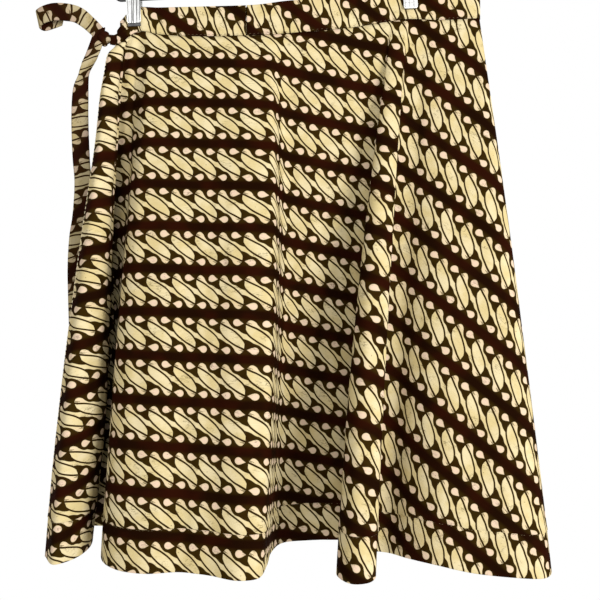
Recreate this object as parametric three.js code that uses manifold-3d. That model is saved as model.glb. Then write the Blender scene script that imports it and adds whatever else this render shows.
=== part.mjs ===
// Wrap skirt hanging from a two-clip wire hanger, in millimetres.
// The origin is the inside top of the hanger's hook. +Z is up, the outer front faces -Y
// and +X is the viewer's right. The skirt is a flared wrap cut as a wide sector: the
// outer front runs from the right side seam across to a free edge at the left side, the
// back runs from the right side seam to the left one, and the under front goes on from
// there beneath the outer front.
import * as THREE from 'three';
import { mergeVertices } from 'three/addons/utils/BufferGeometryUtils.js';
import Module from 'manifold-3d';

// ---------------------------------------------------------------- driving dimensions
const CLOTH = 1.2; // one layer of cloth
const BAND = 2.4; // the folded waistband
const TIE = 2.0; // the folded tie
const TIE_WIDTH = 19;
const SEAM_GAP = 0.3; // between pieces that are sewn or pressed together
const HEM_Z = -722; // the height of the hem's lowest even stretch
const HEM_TURN = 42; // how far the hem is turned up inside
const TURN_GAP = 0.7; // between a panel and its hem turn
const BAND_JOIN_X = -28; // the upright seam in the outer waistband
const WIRE = 2.4; // hanger wire diameter
const HOOK_RADIUS = 20; // inside the hook
const BAR_Z = -105; // the bar's centre below the hook
const BAR_TILT = THREE.MathUtils.degToRad(3); // the hanger hangs a little off level
const BAR_HALF = 168; // from the hook's line to where each end starts to curl
const CURL_RADIUS = 7;
const CLIP_REACH = 154; // from the hook's line to each clip
const CLIP_WIDTH = 15.5;
const JAW = 1.2; // clip sheet metal
const JAW_DROP = 28; // from the bar down to the jaw's lip
const PAD = 1.5; // lip pad thickness
const PAD_HEIGHT = 6;

const COLOURS = {
  cloth: 0x6f5a33,
  wire: 0x16161a,
  steel: 0xc9cac8,
  pad: 0x3a3a3c,
};

// ---------------------------------------------------------------- tables
// Each table has named columns and a row for each fold or section.
function table(columns, rows) {
  return rows.map((row) => Object.fromEntries(columns.map((name, i) => [name, row[i]])));
}

// The waist seam and the band's top edge, from left to right. The clips lift the band,
// and it sags between them.
const WAIST_EDGE = table(['x', 'seam', 'frontTop', 'backTop'], [
  [-173, -164, -150, -141],
  [-167, -161, -142, -135],
  [-160, -156, -136, -127],
  [-152, -151, -124, -122],
  [-144, -149, -122.5, -121],
  [-124, -153, -123, -122],
  [-74, -156, -123, -123],
  [-18, -155, -121.5, -122],
  [18, -153, -117, -118],
  [88, -146, -111, -111],
  [121, -140, -107, -107],
  [153, -135.5, -103, -103],
  [188, -137, -103.5, -103.5],
  [237, -135, -100, -100],
]);

// Folds of a panel, along the way the wrap runs. Each row is one straight line of the
// cloth from the waist seam to the hem. drop lowers the hem and bow pushes the line's
// middle sideways.
const FOLD_COLUMNS = ['fold', 'waistX', 'waistY', 'hemX', 'hemY', 'drop', 'bow'];

const OUTER_FRONT = table(FOLD_COLUMNS, [
  ['free edge', -172, -2.7, -241, -35, 1, -9],
  ['side flute, crest', -168, -2.7, -223, -61, 0, -6],
  ['side flute, face', -161, -2.7, -208, -46, 0, 0],
  ['side flute, right edge', -154, -2.7, -201, -16, 0, 3],
  ['side flute, right wall', -153.3, -2.7, -205, 14, -1, 0],
  ['side pocket', -152.8, -2.7, -215, 34, -2, -4],
  ['side pocket, end', -152.4, -2.7, -227, 45, -3, -4],
  ['side pocket, back', -152, -2.7, -219, 55, -3, -4],
  ['side valley', -151.5, -2.7, -203, 55, -3, -4],
  ['side valley, right', -150.5, -2.7, -194, 40, -3, -4],
  ['side valley, right wall', -148.5, -2.7, -187, 4, -2, -4],
  ['left panel, edge', -146, -2.7, -181, -36, 0, -4],
  ['left panel, shoulder', -139, -2.7, -169, -61, 0, -2],
  ['left panel, crest', -128, -3.1, -149, -76, 1, -3],
  ['left panel, crest end', -108, -4.5, -122, -83, 1, 0],
  ['left panel, dip', -80, -6, -90, -81, 0, 0],
  ['left panel, second rise', -50, -7, -58, -90, 0, 0],
  ['left panel, second crest', -22, -7.2, -30, -103, 0, 3],
  ['centre crease, front', -4, -7.2, -10, -98, 0, 8],
  ['centre crease, wall', 2, -7.2, -3, -66, 0, 8],
  ['centre crease, wall back', 7, -7.2, 1, -26, -1, 6],
  ['recess, left', 14, -7.2, 13, 0, -2, 3],
  ['recess', 40, -6.6, 40, 5, -3, 0],
  ['recess, middle', 75, -5.6, 66, 7, -3, 0],
  ['recess, right', 108, -3.8, 90, 6, -2, -2],
  ['flute, left root', 131, -2.9, 101, -12, -1, -3],
  ['flute, left wall', 134, -2.7, 87, -46, 0, -5],
  ['flute, left edge', 137, -2.7, 69, -82, 2, -8],
  ['flute, crown', 140.5, -2.7, 82, -103, 3, -6],
  ['flute, crown right', 145, -2.7, 99, -101, 3, -3],
  ['flute, right edge', 150, -2.7, 107, -91, 2, -2],
  ['flute, right wall', 152.5, -2.7, 101, -58, 0, -3],
  ['flute, right root', 154.5, -2.7, 102, -26, 0, -4],
  ['flute, right root floor', 158, -2.7, 112, -13, 3, -3],
  ['right panel, start', 165, -2.7, 128, -14, 4, -1],
  ['right panel, left', 178, -3.3, 147, -34, 3, 0],
  ['right panel, middle', 198, -4.2, 176, -52, 4, 2],
  ['right panel, right', 214, -4.6, 212, -58, 10, 3],
  ['right panel, crest', 224, -4.4, 253, -62, 13, 4],
  ['side fold, front', 229.5, -3.4, 287, -56, 16, 3],
  ['side fold', 232, -1.9, 300, -38, 17, 3],
  ['side fold, end', 232.5, -0.8, 302, -20, 17, 3],
  ['side seam', 232.5, -0.15, 302, -12.15, 17, 3],
]);

const BACK = table(FOLD_COLUMNS, [
  ['side seam', 232.5, 0.15, 302, -11.85, 17, 3],
  ['side fold, end', 232.5, 0.8, 302, -4, 17, 3],
  ['side turn', 232, 1.9, 301, 26, 17, 3],
  ['side', 228, 3.6, 289, 66, 14, 3],
  ['first flute', 220, 4.3, 266, 100, 10, 3],
  ['first flute, crest', 204, 4.2, 239, 112, 7, 1],
  ['first valley', 186, 3.3, 211, 92, 4, 0],
  ['first valley, floor', 168, 2.7, 189, 80, 3, 0],
  ['second flute', 154, 2.7, 168, 98, 2, 0],
  ['second flute, crest', 140, 2.9, 152, 122, 3, 3],
  ['second flute, shoulder', 120, 4, 130, 124, 3, 2],
  ['second valley', 98, 5.2, 108, 98, 1, 0],
  ['second valley, floor', 78, 5.9, 85, 84, 0, 0],
  ['third flute', 56, 6.6, 62, 92, 0, 0],
  ['third flute, crest', 36, 7, 40, 104, 1, 0],
  ['third valley', 14, 7.2, 14, 88, 0, 0],
  ['third valley, floor', -8, 7.2, -10, 80, 0, 0],
  ['fourth flute', -28, 7, -36, 104, 1, -2],
  ['fourth flute, crest', -42, 6.8, -52, 130, 2, -4],
  ['fourth flute, shoulder', -58, 6.2, -72, 131, 2, -3],
  ['fourth valley', -74, 5.4, -90, 106, 1, 0],
  ['fourth valley, floor', -94, 4.4, -116, 86, 0, 0],
  ['fifth flute', -118, 3.3, -142, 94, 0, 0],
  ['fifth flute, crest', -138, 2.7, -168, 116, 1, -2],
  ['fifth flute, shoulder', -150, 2.7, -190, 116, 1, -3],
  ['fifth valley', -158, 2.7, -214, 98, 0, -3],
  ['left side', -166, 2.7, -240, 96, 0, -4],
  ['left turn', -171, 2.5, -259, 84, 0, -4],
  ['left turn, end', -171.8, 1.9, -264, 69, 0, -4],
  ['left seam', -171.8, 1.5, -264, 64.15, 0, -4],
]);

const UNDER_FRONT = table(FOLD_COLUMNS, [
  ['left seam', -171.8, 1.2, -264, 63.85, 0, -4],
  ['left turn, end', -171.8, 0.8, -264, 61, 0, -4],
  ['left turn', -171, 0.2, -261, 56, 0, -4],
  ['left side', -167, 0, -250, 57, 0, -4],
  ['behind the side pocket', -160, 0, -228, 67, 0, -4],
  ['behind the side valley', -148, 0, -196, 66, 0, -4],
  ['behind the left panel', -126, -0.2, -158, 42, 0, -2],
  ['first flute', -88, -1.4, -116, 26, 0, 0],
  ['first valley', -48, -2.6, -62, 38, 0, 0],
  ['second flute', -4, -3.2, -6, 26, 0, 0],
  ['behind the recess', 36, -2.6, 40, 34, 0, 0],
  ['free edge', 62, -2, 72, 30, 0, 0],
]);

// Tie centre lines. lean turns the strap's width in the plane of the front, from upright
// at 0 to level at 90 degrees, and turn twists it about the vertical.
const STRAP_COLUMNS = ['x', 'y', 'z', 'lean', 'turn', 'width'];

const SHORT_TAIL = table(STRAP_COLUMNS, [
  [-192.4, -5, -151.1, 48, 0, 13],
  [-203, -6, -141, 45, 0, 16],
  [-214, -7, -133, 36, 0, 18],
  [-227, -7, -129.5, 12, 0, 19],
  [-242, -7, -129, -4, 0, 19],
  [-255, -5, -132, -14, 0, 18],
  [-261, -1, -135, -12, 0, 18],
  [-257, 3, -137, -4, 0, 18],
  [-246, 4, -135, 8, 0, 18],
  [-234, 4, -132, 14, 0, 16],
]);

const LONG_TAIL = table(STRAP_COLUMNS, [
  [-197, -5.5, -167, 62, 0, 13],
  [-199, -5, -172, 66, 0, 15],
  [-202.5, -4, -181, 66, 0, 17],
  [-207, -3, -191, 66, 12, 18],
  [-212, -1, -203, 72, 42, 18],
  [-214.4, 0, -223, 84, 34, 18],
  [-216, 1, -247, 90, 14, 18.5],
  [-214.7, 3, -290, 91, 0, 19],
  [-212.5, 4, -316, 90, -6, 19],
  [-214.4, 4, -352, 86, 0, 19],
  [-218, 4, -378, 88, 4, 19],
  [-220, 4, -413, 90, 0, 19],
  [-219.4, 4, -448, 90, 0, 19],
  [-219, 4, -478, 90, 0, 18],
]);

const KNOT = { centre: new THREE.Vector3(-187, -3, -157), radii: new THREE.Vector3(7.6, 6.5, 7.8) };

// ---------------------------------------------------------------- sheets of cloth
function smoothLine(points) {
  return new THREE.CatmullRomCurve3(points, false, 'centripetal');
}

// The value of one column of WAIST_EDGE above x, on a smooth line through its rows.
function edgeHeight(x, column) {
  const rows = WAIST_EDGE;
  const held = THREE.MathUtils.clamp(x, rows[0].x, rows.at(-1).x);
  const i = Math.max(0, Math.min(rows.length - 2, rows.findLastIndex((row) => row.x <= held)));
  const slopeAt = (k) => {
    const before = rows[Math.max(0, k - 1)];
    const after = rows[Math.min(rows.length - 1, k + 1)];
    return (after[column] - before[column]) / (after.x - before.x);
  };
  const span = rows[i + 1].x - rows[i].x;
  const t = (held - rows[i].x) / span;
  const rise = rows[i + 1][column] - rows[i][column];
  const start = slopeAt(i) * span;
  const end = slopeAt(i + 1) * span;
  const bend = t * t * (3 - 2 * t) * rise + t * (1 - t) * (1 - t) * start - t * t * (1 - t) * end;
  return rows[i][column] + bend;
}

// Lines for a panel's waist, hem and sideways bow, all read at the same share of its way.
function panelLines(folds) {
  return {
    waist: smoothLine(folds.map((f) => new THREE.Vector3(f.waistX, f.waistY, 0))),
    hem: smoothLine(folds.map((f) => new THREE.Vector3(f.hemX, f.hemY, HEM_Z - f.drop))),
    bow: smoothLine(folds.map((f, i) => new THREE.Vector3(i, f.bow, 0))),
  };
}

function waistPoint(lines, share) {
  const point = lines.waist.getPoint(share);
  point.z = edgeHeight(point.x, 'seam');
  return point;
}

// A point of the panel: share runs along the wrap and fall from waist seam to hem.
function panelPoint(lines, share, fall) {
  const point = waistPoint(lines, share).lerp(lines.hem.getPoint(share), fall);
  point.x += 4 * fall * (1 - fall) * lines.bow.getPoint(share).y;
  return point;
}

function shares(count) {
  return Array.from({ length: count + 1 }, (_, i) => i / count);
}

// Unit normals of a grid of points, column by column. They point towards the wearer.
function gridNormals(grid) {
  return grid.map((column, i) => column.map((_, j) => {
    const left = grid[Math.max(0, i - 1)][j];
    const right = grid[Math.min(grid.length - 1, i + 1)][j];
    const above = column[Math.max(0, j - 1)];
    const below = column[Math.min(column.length - 1, j + 1)];
    const along = right.clone().sub(left);
    return along.cross(below.clone().sub(above)).normalize();
  }));
}

// The grid moved along its own normals.
function movedGrid(grid, distance) {
  const normals = gridNormals(grid);
  return grid.map((column, i) => column.map((p, j) => p.clone().addScaledVector(normals[i][j], distance)));
}

// A closed wall between two faces, each a grid of points.
function wallBetween(faces) {
  const columns = faces[0].length;
  const rows = faces[0][0].length;
  const positions = faces.flatMap((face) => face.flatMap((column) => column.flatMap((p) => p.toArray())));
  const at = (side, i, j) => (side * columns + i) * rows + j;
  const index = [];
  const quad = (a, b, c, d) => index.push(a, b, c, a, c, d);
  for (let i = 0; i < columns - 1; i++) {
    for (let j = 0; j < rows - 1; j++) {
      quad(at(0, i, j), at(0, i, j + 1), at(0, i + 1, j + 1), at(0, i + 1, j));
      quad(at(1, i, j), at(1, i + 1, j), at(1, i + 1, j + 1), at(1, i, j + 1));
    }
    quad(at(0, i, 0), at(0, i + 1, 0), at(1, i + 1, 0), at(1, i, 0));
    quad(at(0, i + 1, rows - 1), at(0, i, rows - 1), at(1, i, rows - 1), at(1, i + 1, rows - 1));
  }
  for (let j = 0; j < rows - 1; j++) {
    quad(at(0, 0, j + 1), at(0, 0, j), at(1, 0, j), at(1, 0, j + 1));
    const last = columns - 1;
    quad(at(0, last, j), at(0, last, j + 1), at(1, last, j + 1), at(1, last, j));
  }
  const geometry = new THREE.BufferGeometry();
  geometry.setAttribute('position', new THREE.Float32BufferAttribute(positions, 3));
  geometry.setIndex(index);
  return geometry;
}

// A closed wall of the given thickness, half of it on each side of a grid of points.
function wallGeometry(grid, thickness) {
  return wallBetween([movedGrid(grid, -thickness / 2), movedGrid(grid, thickness / 2)]);
}

// ---------------------------------------------------------------- the part
const skirt = new THREE.Group();

function add(name, geometry, colour, metalness = 0, roughness = 0.9) {
  const material = new THREE.MeshStandardMaterial({ color: colour, metalness, roughness });
  const mesh = new THREE.Mesh(geometry, material);
  mesh.name = name;
  skirt.add(mesh);
  return mesh;
}

// A panel and the turn of its hem, which lies inside it.
function addPanel(name, folds, perFold, falls) {
  const lines = panelLines(folds);
  const columns = shares((folds.length - 1) * perFold);
  const seamShare = SEAM_GAP / 2 / (edgeHeight(0, 'seam') - HEM_Z);
  const held = falls.map((fall) => Math.max(fall, seamShare));
  const grid = columns.map((share) => held.map((fall) => panelPoint(lines, share, fall)));
  add(`${name}_panel`, wallGeometry(grid, CLOTH), COLOURS.cloth);
  const turnInner = CLOTH / 2 + TURN_GAP;
  const turnFaces = [turnInner, turnInner + CLOTH].map((distance) => (
    movedGrid(grid, distance).map((column) => column.slice(falls.length - 2))
  ));
  add(`${name}_hem_turn`, wallBetween(turnFaces), COLOURS.cloth);
  return { lines, columns };
}

const turnFall = 1 - HEM_TURN / (edgeHeight(0, 'seam') - HEM_Z);
const outer = addPanel('outer_front', OUTER_FRONT, 2, [0, 0.12, 0.26, 0.4, 0.55, 0.7, 0.83, turnFall, 1]);
const back = addPanel('back', BACK, 2, [0, 0.25, 0.5, 0.75, turnFall, 1]);
const under = addPanel('under_front', UNDER_FRONT, 3, [0, 0.25, 0.5, 0.75, turnFall, 1]);

// The share of a panel's way at which its waist reaches x, whichever way the panel runs.
function shareAtWaist(panel, x) {
  const waist = panel.lines.waist;
  const forward = waist.getPoint(1).x > waist.getPoint(0).x;
  let low = 0;
  let high = 1;
  for (let step = 0; step < 40; step++) {
    const middle = (low + high) / 2;
    if (waist.getPoint(middle).x < x === forward) low = middle;
    else high = middle;
  }
  return low;
}

// A length of waistband that stands on the waist seam of a panel, at the panel's columns.
function addBand(name, panel, from, to, top) {
  const inside = panel.columns.filter((share) => share > from + 1e-3 && share < to - 1e-3);
  const grid = [from, ...inside, to].map((share) => {
    const seam = waistPoint(panel.lines, share);
    const low = seam.z + SEAM_GAP / 2;
    const high = edgeHeight(seam.x, top);
    return [1, 0.5, 0].map((fall) => new THREE.Vector3(seam.x, seam.y, THREE.MathUtils.lerp(low, high, fall)));
  });
  add(name, wallGeometry(grid, BAND), COLOURS.cloth);
}

const BAND_END_X = -170; // where the inner bands stop, just inside the side folds
const joinLeft = shareAtWaist(outer, BAND_JOIN_X - SEAM_GAP / 2);
const joinRight = shareAtWaist(outer, BAND_JOIN_X + SEAM_GAP / 2);
addBand('waistband_front_left', outer, 0, joinLeft, 'frontTop');
addBand('waistband_front_right', outer, joinRight, 1, 'frontTop');
addBand('waistband_back', back, 0, shareAtWaist(back, BAND_END_X), 'backTop');
addBand('waistband_under', under, shareAtWaist(under, BAND_END_X), 1, 'backTop');

// ---------------------------------------------------------------- the tie
function strapGrid(rows, perRow) {
  const centre = smoothLine(rows.map((r) => new THREE.Vector3(r.x, r.y, r.z)));
  const lie = smoothLine(rows.map((r, i) => new THREE.Vector3(r.lean / 10, r.turn / 10, i)));
  const width = smoothLine(rows.map((r, i) => new THREE.Vector3(r.width, 0, i * 10)));
  return shares((rows.length - 1) * perRow).map((share) => {
    const middle = centre.getPoint(share);
    const angles = lie.getPoint(share).multiplyScalar(10);
    const lean = THREE.MathUtils.degToRad(angles.x);
    const turn = THREE.MathUtils.degToRad(angles.y);
    const across = new THREE.Vector3(
      Math.sin(lean) * Math.cos(turn),
      Math.sin(lean) * Math.sin(turn),
      Math.cos(lean),
    );
    const half = Math.min(width.getPoint(share).x, TIE_WIDTH) / 2;
    return [-half, 0, half].map((reach) => middle.clone().addScaledVector(across, reach));
  });
}

add('tie_short_tail', wallGeometry(strapGrid(SHORT_TAIL, 3), TIE), COLOURS.cloth);
add('tie_long_tail', wallGeometry(strapGrid(LONG_TAIL, 3), TIE), COLOURS.cloth);

const knot = new THREE.SphereGeometry(1, 16, 12);
knot.scale(...KNOT.radii.toArray());
add('tie_knot', knot, COLOURS.cloth).position.copy(KNOT.centre);

// The neck is the band's end, gathered into the knot.
const NECK_START_X = -172.4;
const NECK_END_X = -179.1;
const neckHalfHeight = [5.5, 4.2, 3.6];
const neckGrid = neckHalfHeight.map((half, i) => {
  const x = THREE.MathUtils.lerp(NECK_START_X, NECK_END_X, i / (neckHalfHeight.length - 1));
  return [half, 0, -half].map((rise) => new THREE.Vector3(x, -2.7, KNOT.centre.z + rise));
});
add('tie_neck', wallGeometry(neckGrid, BAND), COLOURS.cloth);

// ---------------------------------------------------------------- the hanger
const wasm = await Module();
wasm.setup();

function toManifold(geometry) {
  const bare = geometry.clone();
  bare.deleteAttribute('normal');
  bare.deleteAttribute('uv');
  const merged = mergeVertices(bare, 1e-4);
  return new wasm.Manifold(new wasm.Mesh({
    numProp: 3,
    vertProperties: new Float32Array(merged.attributes.position.array),
    triVerts: new Uint32Array(merged.index.array),
  }));
}

function fromManifold(solid) {
  const mesh = solid.getMesh();
  const geometry = new THREE.BufferGeometry();
  geometry.setAttribute('position', new THREE.Float32BufferAttribute(mesh.vertProperties, 3));
  geometry.setIndex(Array.from(mesh.triVerts));
  return geometry;
}

// A round wire with a ring of corners at each of the points, however they are spaced.
function wireThrough(points) {
  const path = smoothLine(points);
  path.getUtoTmapping = (share) => share;
  const section = new THREE.Shape();
  section.absarc(0, 0, WIRE / 2, 0, 2 * Math.PI);
  return new THREE.ExtrudeGeometry(section, {
    extrudePath: path,
    steps: points.length - 1,
    curveSegments: 5,
    bevelEnabled: false,
  });
}

function arcPoints(centreX, centreZ, radius, fromDegrees, toDegrees, count) {
  return shares(count).map((share) => {
    const angle = THREE.MathUtils.degToRad(THREE.MathUtils.lerp(fromDegrees, toDegrees, share));
    return new THREE.Vector3(centreX + radius * Math.cos(angle), 0, centreZ + radius * Math.sin(angle));
  });
}

// Hook and neck, with an eye closed round the bar.
const hookLine = HOOK_RADIUS + WIRE / 2;
const eyeRadius = WIRE + SEAM_GAP;
const hookPath = [
  ...arcPoints(0, -HOOK_RADIUS, hookLine, 200, -40, 20),
  ...smoothLine([
    new THREE.Vector3(12, 0, -HOOK_RADIUS - hookLine + 3),
    new THREE.Vector3(5, 0, -HOOK_RADIUS - hookLine - 3),
    new THREE.Vector3(1, 0, -HOOK_RADIUS - hookLine - 9),
    new THREE.Vector3(0, 0, -HOOK_RADIUS - hookLine - 16),
  ]).getPoints(6),
  new THREE.Vector3(0, 0, BAR_Z + eyeRadius),
];
const eye = new THREE.TorusGeometry(eyeRadius, WIRE / 2, 8, 16);
eye.rotateY(Math.PI / 2 - BAR_TILT);
eye.translate(0, 0, BAR_Z);
const hook = toManifold(wireThrough(hookPath)).add(toManifold(eye));
add('hanger_hook', fromManifold(hook), COLOURS.wire, 0.3, 0.5);

// Everything on the bar is built level and turned with it.
const hanger = new THREE.Group();
hanger.position.set(0, 0, BAR_Z);
hanger.rotation.y = -BAR_TILT;
skirt.add(hanger);

const barPath = [
  ...arcPoints(-BAR_HALF, CURL_RADIUS, CURL_RADIUS, 110, 270, 12),
  ...arcPoints(BAR_HALF, CURL_RADIUS, CURL_RADIUS, -90, 70, 12),
];
hanger.add(add('hanger_bar', wireThrough(barPath), COLOURS.wire, 0.3, 0.5));

// Side profile of a jaw, from its lip up to the finger end: distance in front of the bar
// and height above it.
const BARREL_RADIUS = 5;
const lipFront = BAND * 1.5 + 3 * SEAM_GAP + PAD + JAW / 2;
const JAW_PROFILE = table(['out', 'up'], [
  [lipFront, -JAW_DROP],
  [lipFront, -JAW_DROP + 2],
  [lipFront, -JAW_DROP + 9],
  [BARREL_RADIUS + SEAM_GAP + JAW / 2 + 0.4, -8],
  [BARREL_RADIUS + SEAM_GAP + JAW / 2, 0],
  [BARREL_RADIUS + 3, 9],
  [BARREL_RADIUS + 7, 18],
]);
const RIB_HEIGHT = 0.5; // three pressed ribs run down each jaw

function jawGrid(side, middleX) {
  const columns = shares(13);
  return columns.map((share, i) => JAW_PROFILE.map((row, j) => {
    const atLip = j === 0;
    const x = middleX + (share - 0.5) * CLIP_WIDTH * (atLip ? 0.86 : 1);
    const rib = !atLip && i % 4 > 1 && i < columns.length - 2 ? RIB_HEIGHT : 0;
    return new THREE.Vector3(x, side * (row.out + rib), row.up);
  }));
}

for (const [sideName, middleX, padShows] of [['left', -CLIP_REACH, 3], ['right', CLIP_REACH, 0]]) {
  for (const [face, side] of [['front', -1], ['back', 1]]) {
    const grid = jawGrid(side, middleX);
    const ordered = side < 0 ? grid.map((column) => column.toReversed()) : grid;
    const jaw = add(`clip_${sideName}_${face}_jaw`, wallGeometry(ordered, JAW), COLOURS.steel, 0.9, 0.35);
    hanger.add(jaw);
    const pad = new THREE.BoxGeometry(CLIP_WIDTH - 1.5, PAD, PAD_HEIGHT);
    const padOut = side * (lipFront - JAW / 2 - SEAM_GAP - PAD / 2);
    const padMesh = add(`clip_${sideName}_${face}_pad`, pad, COLOURS.pad);
    padMesh.position.set(middleX, padOut, -JAW_DROP - padShows + PAD_HEIGHT / 2);
    hanger.add(padMesh);
  }
  const barrelSection = [
    new THREE.Vector2(WIRE / 2 + SEAM_GAP, -CLIP_WIDTH / 2 + 2),
    new THREE.Vector2(BARREL_RADIUS, -CLIP_WIDTH / 2 + 2),
    new THREE.Vector2(BARREL_RADIUS, CLIP_WIDTH / 2 - 2),
    new THREE.Vector2(WIRE / 2 + SEAM_GAP, CLIP_WIDTH / 2 - 2),
  ];
  barrelSection.push(barrelSection[0].clone());
  const barrel = new THREE.LatheGeometry(barrelSection, 20);
  barrel.rotateZ(Math.PI / 2);
  const spring = add(`clip_${sideName}_spring`, barrel, COLOURS.steel, 0.9, 0.4);
  spring.position.set(middleX, 0, 0);
  hanger.add(spring);
}

export default skirt;
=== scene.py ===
# %% [markdown]
# # A wrap skirt on a wire hanger
# The skirt is cut from printed cotton as a wide sector, so it flares into folds, and two clips
# hold its waistband flat. Each piece of cloth is made here as a thin sheet that hangs where its
# solid in the frame hangs. The frame comes first, because every piece has to ride on it.

# %% The frame
import math

import bmesh
import bpy
from mathutils import Euler, Matrix, Vector, noise


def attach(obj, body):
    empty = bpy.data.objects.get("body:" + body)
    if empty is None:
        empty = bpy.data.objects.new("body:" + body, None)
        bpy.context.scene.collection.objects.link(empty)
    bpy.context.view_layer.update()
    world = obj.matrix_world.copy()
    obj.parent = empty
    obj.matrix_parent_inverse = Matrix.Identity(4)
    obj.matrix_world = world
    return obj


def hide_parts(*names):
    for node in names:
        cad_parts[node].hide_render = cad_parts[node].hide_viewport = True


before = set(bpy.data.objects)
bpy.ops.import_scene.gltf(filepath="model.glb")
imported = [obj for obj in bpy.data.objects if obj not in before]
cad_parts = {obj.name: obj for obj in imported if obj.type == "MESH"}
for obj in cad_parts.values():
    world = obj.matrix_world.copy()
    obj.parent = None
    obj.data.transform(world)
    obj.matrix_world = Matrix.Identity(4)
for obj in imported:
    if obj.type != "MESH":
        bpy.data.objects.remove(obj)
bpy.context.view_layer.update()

MM = 0.001
print("solids in the frame:", len(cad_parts))

# %% [markdown]
# ## Camera, floor and light
# The skirt hangs at eye height and is seen square from the front, close by, so the camera looks
# level along +Y. A white world stands for a bright room and a pale round floor lies below.
# One large lamp at the upper right gives the folds their shade, and a weaker one opens it.

# %% The camera
CAMERA_PLACE = Vector((0.032, -0.8, -0.449))
SENSOR_WIDTH = 36
FOCAL_LENGTH = 42.84
camera = bpy.data.objects.new("camera", bpy.data.cameras.new("camera"))
camera.data.sensor_width = SENSOR_WIDTH
camera.data.lens = FOCAL_LENGTH
camera.location = CAMERA_PLACE
camera.rotation_euler = Euler((math.pi / 2, 0, 0))
bpy.context.collection.objects.link(camera)
bpy.context.scene.camera = camera
bpy.context.scene.view_settings.view_transform = "Standard"
print("camera at", tuple(camera.location))

# %% Objects from a bmesh


def new_object(name, bm, material=None, smooth=True):
    """A mesh object from a bmesh, at the origin."""
    mesh = bpy.data.meshes.new(name)
    for face in bm.faces:
        face.smooth = smooth
    bm.to_mesh(mesh)
    bm.free()
    made = bpy.data.objects.new(name, mesh)
    bpy.context.collection.objects.link(made)
    if material is not None:
        mesh.materials.append(material)
    return made


# %% [markdown]
# ## Wear on hard finishes
# Enamel, plated steel, rubber and thread are never one even colour: handling leaves them lighter
# and darker in places, and less or more glossy there. One shader node group does this for all of
# them, and each material gives it its own colours and scale. Shader arithmetic is easier to read
# as formulas, so a small class lets a socket be added, multiplied and compared.

# %% Arithmetic on sockets


class Value:
    """A number that changes over the surface: one socket, with arithmetic."""

    def __init__(self, tree, socket):
        self.tree = tree
        self.socket = socket

    def math(self, operation, *others, first=None):
        node = self.tree.nodes.new("ShaderNodeMath")
        node.operation = operation
        terms = (self, *others) if first is None else (first, self)
        for socket, term in zip(node.inputs, terms):
            if isinstance(term, Value):
                self.tree.links.new(term.socket, socket)
            else:
                socket.default_value = term
        return Value(self.tree, node.outputs[0])

    def __add__(self, other):
        return self.math("ADD", other)

    def __sub__(self, other):
        return self.math("SUBTRACT", other)

    def __rsub__(self, other):
        return self.math("SUBTRACT", first=other)

    def __mul__(self, other):
        return self.math("MULTIPLY", other)

    def __truediv__(self, other):
        return self.math("DIVIDE", other)

    def __neg__(self):
        return self.math("MULTIPLY", -1)

    def least(self, other):
        return self.math("MINIMUM", other)

    def most(self, other):
        return self.math("MAXIMUM", other)

    def floor(self):
        return self.math("FLOOR")

    def size(self):
        return self.math("ABSOLUTE")

    def root(self):
        return self.math("SQRT")

    def ramp(self, low, high, kind="LINEAR"):
        """0 below low, 1 above high, straight between."""
        node = self.tree.nodes.new("ShaderNodeMapRange")
        node.interpolation_type = kind
        self.tree.links.new(self.socket, node.inputs["Value"])
        node.inputs["From Min"].default_value = low
        node.inputs["From Max"].default_value = high
        return Value(self.tree, node.outputs["Result"])

    def soft(self, low, high):
        """0 below low, 1 above high, smooth between."""
        return self.ramp(low, high, "SMOOTHSTEP")


def blend_colours(tree, share, first, second):
    """first where share is 0 and second where it is 1. Each is a colour or a socket."""
    node = tree.nodes.new("ShaderNodeMix")
    node.data_type = "RGBA"
    tree.links.new(share.socket, node.inputs["Factor"])
    for name, colour in (("A", first), ("B", second)):
        socket = next(s for s in node.inputs if s.name == name and s.type == "RGBA")
        if isinstance(colour, bpy.types.NodeSocket):
            tree.links.new(colour, socket)
        else:
            socket.default_value = (*colour, 1)
    return next(s for s in node.outputs if s.type == "RGBA")


# %% The wear


def new_group(name, inputs, outputs):
    """An empty shader node group with these sockets, each a name, a kind and a start value."""
    group = bpy.data.node_groups.new(name, "ShaderNodeTree")
    for direction, sockets in (("INPUT", inputs), ("OUTPUT", outputs)):
        for label, kind, start in sockets:
            socket = group.interface.new_socket(label, in_out=direction, socket_type=kind)
            if start is not None:
                socket.default_value = start
    return group, group.nodes.new("NodeGroupInput"), group.nodes.new("NodeGroupOutput")


FLOAT, COLOUR, VECTOR = "NodeSocketFloat", "NodeSocketColor", "NodeSocketVector"

# the noise shows the clean colour below the first value and the worn one above the second
WEAR_RANGE = (0.35, 0.7)
WEAR_DETAIL = 4
WEAR_GLOSS = 0.2
WEAR_GLOSSIEST = 0.08
WEAR_RELIEF = 0.3


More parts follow.
